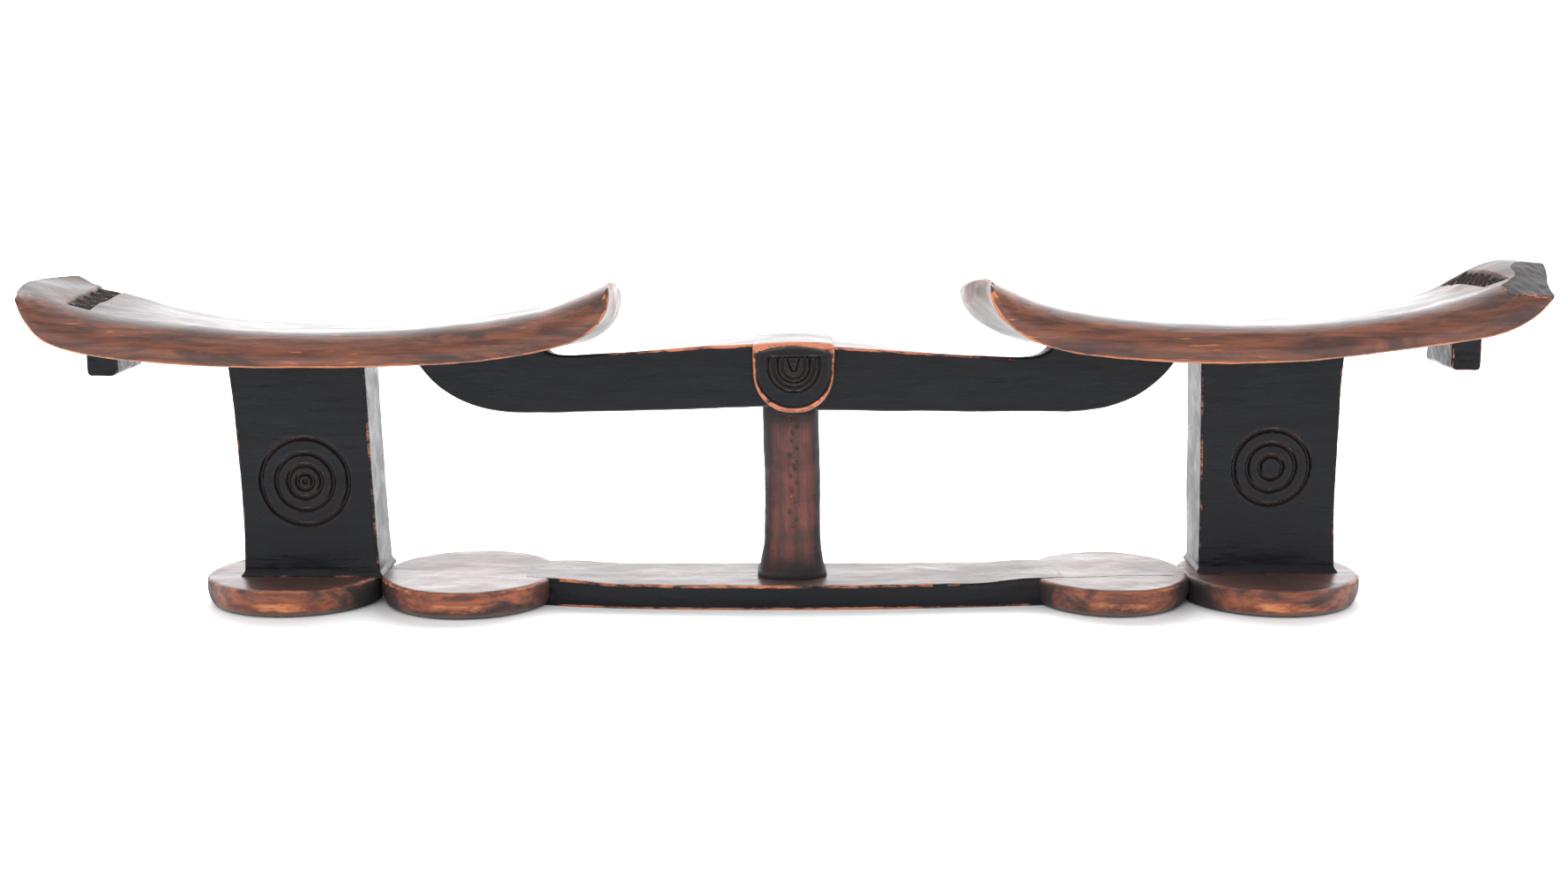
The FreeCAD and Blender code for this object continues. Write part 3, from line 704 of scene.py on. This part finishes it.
def post(node, left_line, right_line, roof, centre, radii):
    """A leaning slab between two lines, up to roof, with rings on its front."""
    low, high = box_mm(node)
    middle_y, half = (low.y + high.y) / 2, (high.y - low.y) / 2
    bm = block(spread((0.03, 6), (0.14, 10), (0.86, 116), (0.97, 10), (1.0, 6)),
               spread((0.06, 5), (0.94, 14), (1.0, 5)),
               spread((0.03, 5), (0.2, 20), (0.75, 140), (1.0, 28)))
    floor_z = low.z - 0.6

    def place(u, v, w):
        z = floor_z + (roof - floor_z) * w
        left, right = left_line.at(w).x / MM, right_line.at(w).x / MM
        middle, wide = (left + right) / 2, (right - left) / 2
        x, y = (u - 0.5) * 2 * wide, (v - 0.5) * 2 * half
        flare = FOOT_FLARE * (1 - smooth(z - low.z, 0.0, 3.2)) ** 2
        x, y = eased(x, y, wide, half, POST_EDGE, POST_EDGE)
        x *= 1 + flare / wide
        y *= 1 + flare / half
        x += middle
        if v == 0:
            y += rings(x, z, centre, radii)
        return Vector((x, y + middle_y, z)) * MM

    carve(bm, place)
    waver(bm, 0.28, 20.0)

    def rubbed(spot, worn):
        return worn * POST_WEAR

    return finished(node + "_carved", bm, [node], black_wood, wear=0.9,
                    dirt=1.3, tight=2.0, apart=3.2, rubbed=rubbed)


post("left_post",
     Path([(-235.6, 12.0), (-233.6, 30.0), (-235.0, 70.0), (-238.3, 106.0)]),
     Path([(-177.4, 12.0), (-178.8, 30.0), (-180.2, 70.0), (-180.6, 106.0)]),
     106.4, (-207.7, 53.2), (18.5, 12.1, 7.0, 3.4, 0.3))
post("right_post",
     Path([(174.0, 12.0), (173.0, 30.0), (172.2, 70.0), (171.0, 108.0)]),
     Path([(232.3, 12.0), (230.2, 30.0), (230.2, 70.0), (231.6, 109.0)]),
     109.4, (202.7, 57.9), (16.1, 10.3, 4.9))

# %% [markdown]
# ## The beam
#
# Two arms run from the boss out under the platforms. Each arm has a flat front, a top edge
# that sags from the boss and then curls up into the platform's belly, and a lower edge that
# sweeps up to meet it. The curl is carved as part of the arm, so that no joint shows.

# %% Carve the beam arms
ARM_EDGE = 1.1
TOP_FALLS_BACK = 2.6


def beam_arm(node, lower, upper):
    """An arm between its lower and upper line, from under a platform in to the boss."""
    low, high = box_mm(node)
    middle, half = (low.y + high.y) / 2, (high.y - low.y) / 2
    bm = block(spread((0.5, 110), (1.0, 70)), spread((0.08, 5), (0.92, 14), (1.0, 5)),
               spread((0.08, 5), (0.92, 24), (1.0, 5)))

    def place(u, v, w):
        under, over = lower.at(u) / MM, upper.at(u) / MM
        tall = max((over - under).length, 0.4)
        y, z = (v - 0.5) * 2 * half, (w - 0.5) * tall
        y, z = eased(y, z, half, tall / 2, ARM_EDGE, min(ARM_EDGE, tall / 2.1))
        spot = under.lerp(over, z / tall + 0.5)
        spot.y = middle + y
        fall = smooth(v, 0.0, 1.0) * smooth(abs(spot.x), 22.0, 60.0)
        lift = 0.7 * smooth(abs(spot.x), 14.0, 40.0) - 0.4
        spot.z += (lift - TOP_FALLS_BACK * fall) * w * smooth(tall, 6.0, 20.0)
        return spot * MM

    carve(bm, place)
    waver(bm, 0.28, 20.0)

    def rubbed(spot, worn):
        handled = smooth(spot.z, 100.0, 108.0) * (1 - smooth(abs(spot.x), 35.0, 110.0))
        return worn * (0.55 + 0.6 * handled)

    return finished(node + "_carved", bm, [node], black_wood, wear=1.0,
                    dirt=1.4, tight=2.4, rubbed=rubbed)


beam_arm("left_beam_arm",
         Path([(-158.6, 106.6), (-152.0, 93.5), (-137.5, 83.7), (-116.0, 83.5)],
              [(-116.0, 83.5), (-84.0, 83.3), (-48.0, 84.8), (-10.0, 86.0)]),
         Path([(-158.2, 107.6), (-140.0, 107.6), (-122.0, 109.6), (-106.5, 112.0)],
              [(-106.5, 112.0), (-104.0, 107.4), (-100.0, 107.2), (-92.0, 107.3)],
              [(-92.0, 107.3), (-66.0, 109.0), (-38.0, 110.8), (-10.0, 113.6)]))
beam_arm("right_beam_arm",
         Path([(160.0, 108.4), (151.5, 94.0), (136.5, 83.8), (112.0, 83.9)],
              [(112.0, 83.9), (80.0, 84.0), (42.0, 83.8), (8.0, 84.6)]),
         Path([(159.6, 109.6), (142.0, 109.0), (122.0, 111.0), (109.0, 113.6)],
              [(109.0, 113.6), (105.0, 107.6), (101.0, 106.5), (92.0, 106.5)],
              [(92.0, 106.5), (67.0, 107.2), (38.0, 109.4), (8.0, 112.6)]))

# %% [markdown]
# ## The boss
#
# In the middle of the beam stands a shield with a worn rim and a sunk panel. The panel has a
# level line at the top, with small nicks below it, and arches that hang from it one inside
# the other, around a small point. All of it is cut with a fine V tool, so it is carved in the
# same way as the rings, with a distance to each line.

# %% Carve the boss
INSIDE_RIM = 15.7
ROUND_FROM = 12.5
LEVEL_LINE = 6.4
POINT_TIP = 12.6
ARCHES = ((10.7, 0.6), (8.4, 0.8), (6.6, 0.5), (4.6, 0.7))
NICKS = (0.3, 4.2, 7.6)
BOSS_EDGE = 1.7


def groove(distance, width, cut=0.8):
    """How deep a V cut is at a distance from its line, in millimetres."""
    return cut * (1 - smooth(abs(distance), width * 0.25, width))


def inside_rim(x, z, middle, top):
    """How far inside the shield's rim a spot lies, in millimetres."""
    away_x, down = abs(x - middle), top - z
    rim = min(INSIDE_RIM - away_x, down - 1.9 - 0.011 * away_x ** 2)
    if down > ROUND_FROM:
        rim = min(rim, INSIDE_RIM - math.hypot(away_x, (down - ROUND_FROM) * 1.04))
    if away_x > 11.7 and down < 7.4:
        rim = min(rim, 4.0 - math.hypot(away_x - 11.7, 7.4 - down))
    return rim


def shield_panel(x, z, middle, top):
    """Depth of the sunk panel and its lines, in millimetres."""
    away_x, down = abs(x - middle), top - z
    rim = inside_rim(x, z, middle, top)
    sunk = smooth(rim, 0.0, 0.9)
    if rim < 0.6:
        return sunk
    cut = groove(down - LEVEL_LINE, 0.55) if away_x < 10.9 else 0.0
    ring = math.hypot(away_x, max(0.0, down - 10.4) * 1.02)
    for radius, wide in ARCHES:
        cut = max(cut, groove(ring - radius, wide) if down > LEVEL_LINE else 0.0)
    if LEVEL_LINE < down < POINT_TIP:
        cut = max(cut, groove(away_x - math.sqrt(max(0.0, POINT_TIP - down)), 0.5))
    if 7.3 < down < 8.3:
        cut = max(cut, *(groove(away_x - nick, 0.7, 0.7) for nick in NICKS))
    return sunk + cut


def center_boss(node="center_boss"):
    """A shield with a rounded foot, its front sunk and cut."""
    low, high = box_mm(node)
    middle, half = (low.x + high.x) / 2, (high.x - low.x) / 2
    deep, tall = high.y - low.y, high.z - low.z
    bm = block(spread((0.04, 5), (0.96, 92), (1.0, 5)), spread((0.05, 5), (1.0, 30)),
               spread((1.0, 96)))

    def place(u, v, w):
        x, z = (u - 0.5) * 2 * half, (w - 0.5) * tall
        x, z = eased(x, z, half, tall / 2, *((15.6, 15.6) if z < 0 else (2.4, 1.6)))
        y = low.y + v * deep
        edge = min(v, 1.0 - v) * deep
        tuck = BOSS_EDGE * (1 - min(edge / BOSS_EDGE, 1.0))
        tuck = BOSS_EDGE - math.sqrt(max(0.0, BOSS_EDGE ** 2 - tuck ** 2))
        x *= 1 - tuck / half
        z *= 1 - tuck / (tall / 2)
        x *= 1 - 0.045 * smooth(-z, -tall / 2, tall / 2)
        z_place = low.z + tall / 2 + z
        x_place = middle + x
        z_place -= (1.2 * (x / half) ** 2 + 0.2 * v) * smooth(z, 0, tall / 2)
        if v == 0:
            y += shield_panel(x_place, z_place, middle, high.z)
        return Vector((x_place, y, z_place)) * MM

    carve(bm, place)
    waver(bm, 0.25, 14.0)

    def rubbed(spot, worn):
        on_rim = 1 - smooth(inside_rim(spot.x, spot.z, middle, high.z), -0.5, 0.4)
        return max(worn, 1.3 * on_rim) * (1 - smooth(spot.y, low.y + 0.9, low.y + 2.2))

    return finished(node + "_carved", bm, [node], black_wood, wear=1.2,
                    dirt=1.0, tight=2.6, apart=1.4, rubbed=rubbed)


center_boss()

# %% [markdown]
# ## The column
#
# Under the boss stands a slender column with a rounded front. It flares just above the base
# and steps out once more at its foot. A knife has left a row of small chips down its front.

# %% Carve the column
COLUMN_WIDE = 11.9
COLUMN_DEEP = 9.0
CHIPS = [(math.sin(k * 2.4) * 1.6 - 1.0, 34 + k * 3.1, 1.0 + 0.5 * math.sin(k * 5.1))
         for k in range(16)]


def chip_depth(x, z):
    """How deep the knife went at a spot on the front, in millimetres."""
    deep = 0.0
    for chip_x, chip_z, size in CHIPS:
        gone = math.hypot((x - chip_x) / size, (z - chip_z) / (size * 1.1))
        deep = max(deep, 0.45 * (1 - smooth(gone, 0.3, 1.0)))
    return deep


def column(node="center_column"):
    """A slender shaft with a rounded front and a flared foot."""
    low, high = box_mm(node)
    bm = block(spread((0.3, 12), (0.7, 36), (1.0, 12)), spread((0.4, 10), (1.0, 14)),
               spread((0.03, 8), (0.12, 14), (0.25, 20), (1.0, 110)))
    base_z, top_z = low.z - 0.5, high.z + 0.5

    def place(u, v, w):
        z = base_z + (top_z - base_z) * w
        rise = z - low.z
        spread_out = 2.2 * (1 - smooth(rise, 0.0, 20.0)) ** 1.5
        spread_out += 0.7 * (1 - smooth(rise, 1.4, 3.4))
        wide = COLUMN_WIDE + spread_out
        deep = COLUMN_DEEP + spread_out * 0.7
        x, y = (u - 0.5) * 2 * wide, (v - 0.5) * 2 * deep
        round_x = 6.8 + 2.6 * (1 - smooth(rise, 2.0, 16.0))
        x, y = eased(x, y, wide, deep, round_x, 6.2 if v < 0.5 else 4.5)
        y += 1.6 - 1.1 * (1 - (x / wide) ** 2) * (1 - v)
        x += -1.8 + 0.5 * math.sin(z * 0.05)
        if v == 0:
            y += chip_depth(x, z)
        return Vector((x, y, z)) * MM

    carve(bm, place)
    waver(bm, 0.3, 13.0)

    def rubbed(spot, worn):
        return 1.0 if chip_depth(spot.x, spot.z) > 0.1 and spot.y < -5 else worn * 0.5

    # Painted shade: darker towards the column's sides and back, at its foot and under the boss.
    def shaded(spot):
        away = abs(spot.x + 1.6) / 12.0
        ends = max(1 - smooth(spot.z, 11.0, 30.0), smooth(spot.z, 70.0, 84.0) * 0.9)
        return max(smooth(away, 0.55, 1.0), ends * 0.95, smooth(spot.y, -4.0, 3.0))

    return finished(node + "_carved", bm, [node], red_wood, wear=1.0, dirt=1.5,
                    tight=0.7, rubbed=rubbed, shaded=shaded)


column()

# %% [markdown]
# ## The base
#
# The base is a flat bar between two pairs of round lobes. A lobe is turned in spirit if not
# in fact, so its profile is spun: a nearly sharp upper rim, a side that swells, and a lower
# edge that rolls under. Each lobe is then squeezed or stretched a little from front to back.
# Two lobes meet in a straight line, where each is cut off with a plane. A drying crack runs
# along the top from the bar into the right lobes, so each of them opens its own stretch.

# %% Spin the lobes
def lobe_profile(reach, tall):
    """The half section of a lobe, from its middle on top to its middle underneath."""
    rim = [(reach - 2.2, tall), (reach - 1.3, tall - 0.12), (reach - 0.6, tall - 0.5),
           (reach - 0.2, tall - 1.1), (reach - 0.05, tall - 2.0)]
    side = [(reach, tall - 4.0), (reach - 0.05, tall - 5.5), (reach - 0.3, tall - 7.0),
            (reach - 0.7, tall - 8.5)]
    roll = [(reach - 1.3, 1.9), (reach - 1.9, 1.0), (reach - 2.8, 0.35), (reach - 3.9, 0.05),
            (reach - 5.0, 0.0)]
    inside = [(reach * k / 26, tall) for k in range(25)]
    under = [(reach * 0.6, 0.0), (reach * 0.3, 0.0), (0.0, 0.0)]
    return inside + rim + side + roll + under


CRACK_START = Vector((40.0, -20.0, 12.0))
CRACK_TURN = Vector((170.0, -5.6, 12.0))
CRACK_END = Vector((246.0, -3.2, 12.0))
TOP_SKIN = 0.3


def crack(bm, start, end, top, cut=1.6, width=0.6):
    """Open a drying crack in a member's top, along a line from start to end."""
    run = (end - start).normalized()
    across = Vector((-run.y, run.x, 0.0))
    for offset in (-width / 2, 0.0, width / 2):
        faces = [f for f in bm.faces if min(v.co.z for v in f.verts) > (top - TOP_SKIN) * MM]
        edges = {e for f in faces for e in f.edges}
        verts = {v for f in faces for v in f.verts}
        bmesh.ops.bisect_plane(bm, geom=list(verts) + list(edges) + faces,
                               plane_co=(start + across * offset) * MM, plane_no=across)
    for v in bm.verts:
        off = (v.co / MM - start).dot(across)
        along = (v.co / MM - start).dot(run)
        if v.co.z > (top - TOP_SKIN) * MM and abs(off) < 0.02:
            v.co.z -= cut * MM * smooth(along, 0.0, 40.0) * smooth(v.co.x / MM, 41.0, 60.0)


def lobe(node, stretch, shift, pinch_side, cracked=()):
    """A lobe cut flat on pinch_side: -1 to its left, 1 to its right.

    stretch and shift act from front to back; cracked lists the crack's stretches in it.
    """
    low, high = box_mm(node)
    reach = (high.y - low.y) / 2
    middle = high.x - reach if pinch_side < 0 else low.x + reach
    pinch, far_side = (low.x, high.x) if pinch_side < 0 else (high.x, low.x)
    bm = bmesh.new()
    corners = [bm.verts.new((r * MM, 0, z * MM)) for r, z in lobe_profile(reach, high.z)]
    for a, b in zip(corners, corners[1:]):
        bm.edges.new((a, b))
    bmesh.ops.spin(bm, geom=list(bm.verts) + list(bm.edges), cent=(0, 0, 0), axis=(0, 0, 1),
                   angle=math.tau, steps=200, use_merge=True)
    bmesh.ops.remove_doubles(bm, verts=bm.verts, dist=0.01 * MM)
    bmesh.ops.scale(bm, vec=(1.0, stretch, 1.0), verts=bm.verts)
    bmesh.ops.translate(bm, vec=(middle * MM, shift * MM, 0), verts=bm.verts)
    cut = bmesh.ops.bisect_plane(bm, geom=list(bm.verts) + list(bm.edges) + list(bm.faces),
                                 plane_co=(pinch * MM, 0, 0), plane_no=(-pinch_side, 0, 0),
                                 clear_inner=True)
    rim = [e for e in cut["geom_cut"] if isinstance(e, bmesh.types.BMEdge)]
    bmesh.ops.edgeloop_fill(bm, edges=rim)
    for start, end in cracked:
        crack(bm, start, end, high.z)
    waver(bm, 0.4, 17.0)
    for v in bm.verts:
        v.co.z = max(v.co.z, 0.0)

    # Painted shade: mostly on the sides, darker near the pinch, near the far side and towards the
    # back.
    def shaded(spot):
        near_pinch = 1 - smooth(abs(spot.x - pinch), 2.0, 20.0)
        on_side = 1 - 0.85 * smooth(spot.z, high.z - 0.9, high.z - 0.2)
        near_far_side = 1 - smooth(abs(spot.x - far_side), 4.0, 15.0)
        back = smooth(spot.y, -8.0, 6.0)
        return max(near_pinch, near_far_side * 0.75, back * 0.7) * on_side

    def rubbed(spot, worn):
        on_bar = "inner" in node and abs(spot.x - far_side) < 14 and -21 < spot.y < 24
        side_patch = 0.8 * (1 - smooth(abs(spot.z - 4.6), 1.0, 4.0))
        side_patch *= 1 - smooth(abs(spot.x - middle), 6.0, 26.0)
        return 0.0 if on_bar or abs(spot.x - pinch) < 1.6 else max(worn * 0.6, side_patch)

    return finished(node + "_carved", bm, [node], foot_wood, wear=0.7, dirt=1.5,
                    tight=2.0, rubbed=rubbed, shaded=shaded)


lobe("left_outer_lobe", 0.91, 0.0, 1)
lobe("left_inner_lobe", 1.0, 0.0, -1)
lobe("right_inner_lobe", 1.03, 0.7, 1, [(CRACK_START, CRACK_TURN)])
lobe("right_outer_lobe", 0.94, 1.5, -1, [(CRACK_TURN, CRACK_END)])

# %% [markdown]
# ## The bar
#
# The bar's front edge bows out between the feet. Its ends run a little way into the lobes, so
# that the joint is a real inner corner, and there its top comes up level with theirs.

# %% Carve the bar
BAR_BACK = 19.8
BAR_EDGE = 0.9
RUNS_IN = 4
LOBE_TOP = 12.07
LEVEL_FROM, LEVEL_OVER = 36, 26


def base_bar(node="base_bar"):
    """A flat bar along its front line, level with the lobes at both ends."""
    low, high = box_mm(node)
    bm = block(spread((1.0, 220)), spread((0.05, 5), (0.95, 30), (1.0, 5)),
               spread((0.1, 4), (0.9, 8), (1.0, 4)))
    middle_z, half_z = (low.z + high.z) / 2, (high.z - low.z) / 2
    ends = (low.x - RUNS_IN, 11.0), (high.x + RUNS_IN, 12.4)
    front_line = Path([ends[0], (-85.0, 18.5), (-60.0, 20.5), (-10.0, 20.5)],
                      [(-10.0, 20.5), (40.0, 20.5), (70.0, 17.0), ends[1]])

    def place(u, v, w):
        edge = front_line.at(u) / MM
        front = -edge.z
        middle_y, half_y = (front + BAR_BACK) / 2, (BAR_BACK - front) / 2
        y, z = (v - 0.5) * 2 * half_y, (w - 0.5) * 2 * half_z
        y, z = eased(y, z, half_y, half_z, BAR_EDGE, BAR_EDGE)
        in_end = max(smooth(low.x + LEVEL_FROM - edge.x, 0, LEVEL_OVER),
                     smooth(edge.x - high.x + LEVEL_FROM, 0, LEVEL_OVER))
        z += (LOBE_TOP - high.z) * in_end * w
        return Vector((edge.x, y + middle_y, z + middle_z)) * MM

    carve(bm, place)
    crack(bm, CRACK_START, CRACK_TURN, high.z)
    waver(bm, 0.3, 19.0)
    for v in bm.verts:
        v.co.z = max(v.co.z, 0.0)

    def rubbed(spot, worn):
        return worn * smooth(min(spot.x - low.x, high.x - spot.x), 6.0, 12.0)

    return finished(node + "_carved", bm, [node], black_wood, wear=1.1,
                    dirt=1.4, tight=2.0, rubbed=rubbed)


base_bar()

# %% [markdown]
# ## The lugs
#
# Under each outer end hangs a small lug, a peg left when the belly was carved away. Its
# lower corners are rounded and its top runs up into the platform.

# %% Carve the lugs
LUG_CORNER = 2.6
LUG_DEEPER = 3.0
LUG_LIFT = 0.6


def lug(node, shift, wider):
    """A lug moved by shift along X, and wider by that much on each side."""
    low, high = box_mm(node)
    middle_x, half_x = (low.x + high.x) / 2 + shift, (high.x - low.x) / 2 + wider
    middle_y, half_y = (low.y + high.y) / 2, (high.y - low.y) / 2 + LUG_DEEPER
    tall = high.z - low.z
    bm = block(spread((1.0, 24)), spread((1.0, 34)), spread((1.0, 26)))

    def place(u, v, w):
        x, y, z = (u - 0.5) * 2 * half_x, (v - 0.5) * 2 * half_y, (w - 0.5) * tall
        if z < 0:
            x, z = eased(x, z, half_x, tall / 2, LUG_CORNER, LUG_CORNER)
        x, y = eased(x, y, half_x, half_y, 1.2, 1.2)
        return Vector((x + middle_x, y + middle_y, z + low.z + tall / 2 + LUG_LIFT)) * MM

    carve(bm, place)
    waver(bm, 0.4, 9.0)
    return finished(node + "_carved", bm, [node], black_wood, wear=0.6,
                    dirt=1.0, tight=0.9)


lug("left_lug", -0.2, 0.6)
lug("right_lug", -1.2, 0.3)
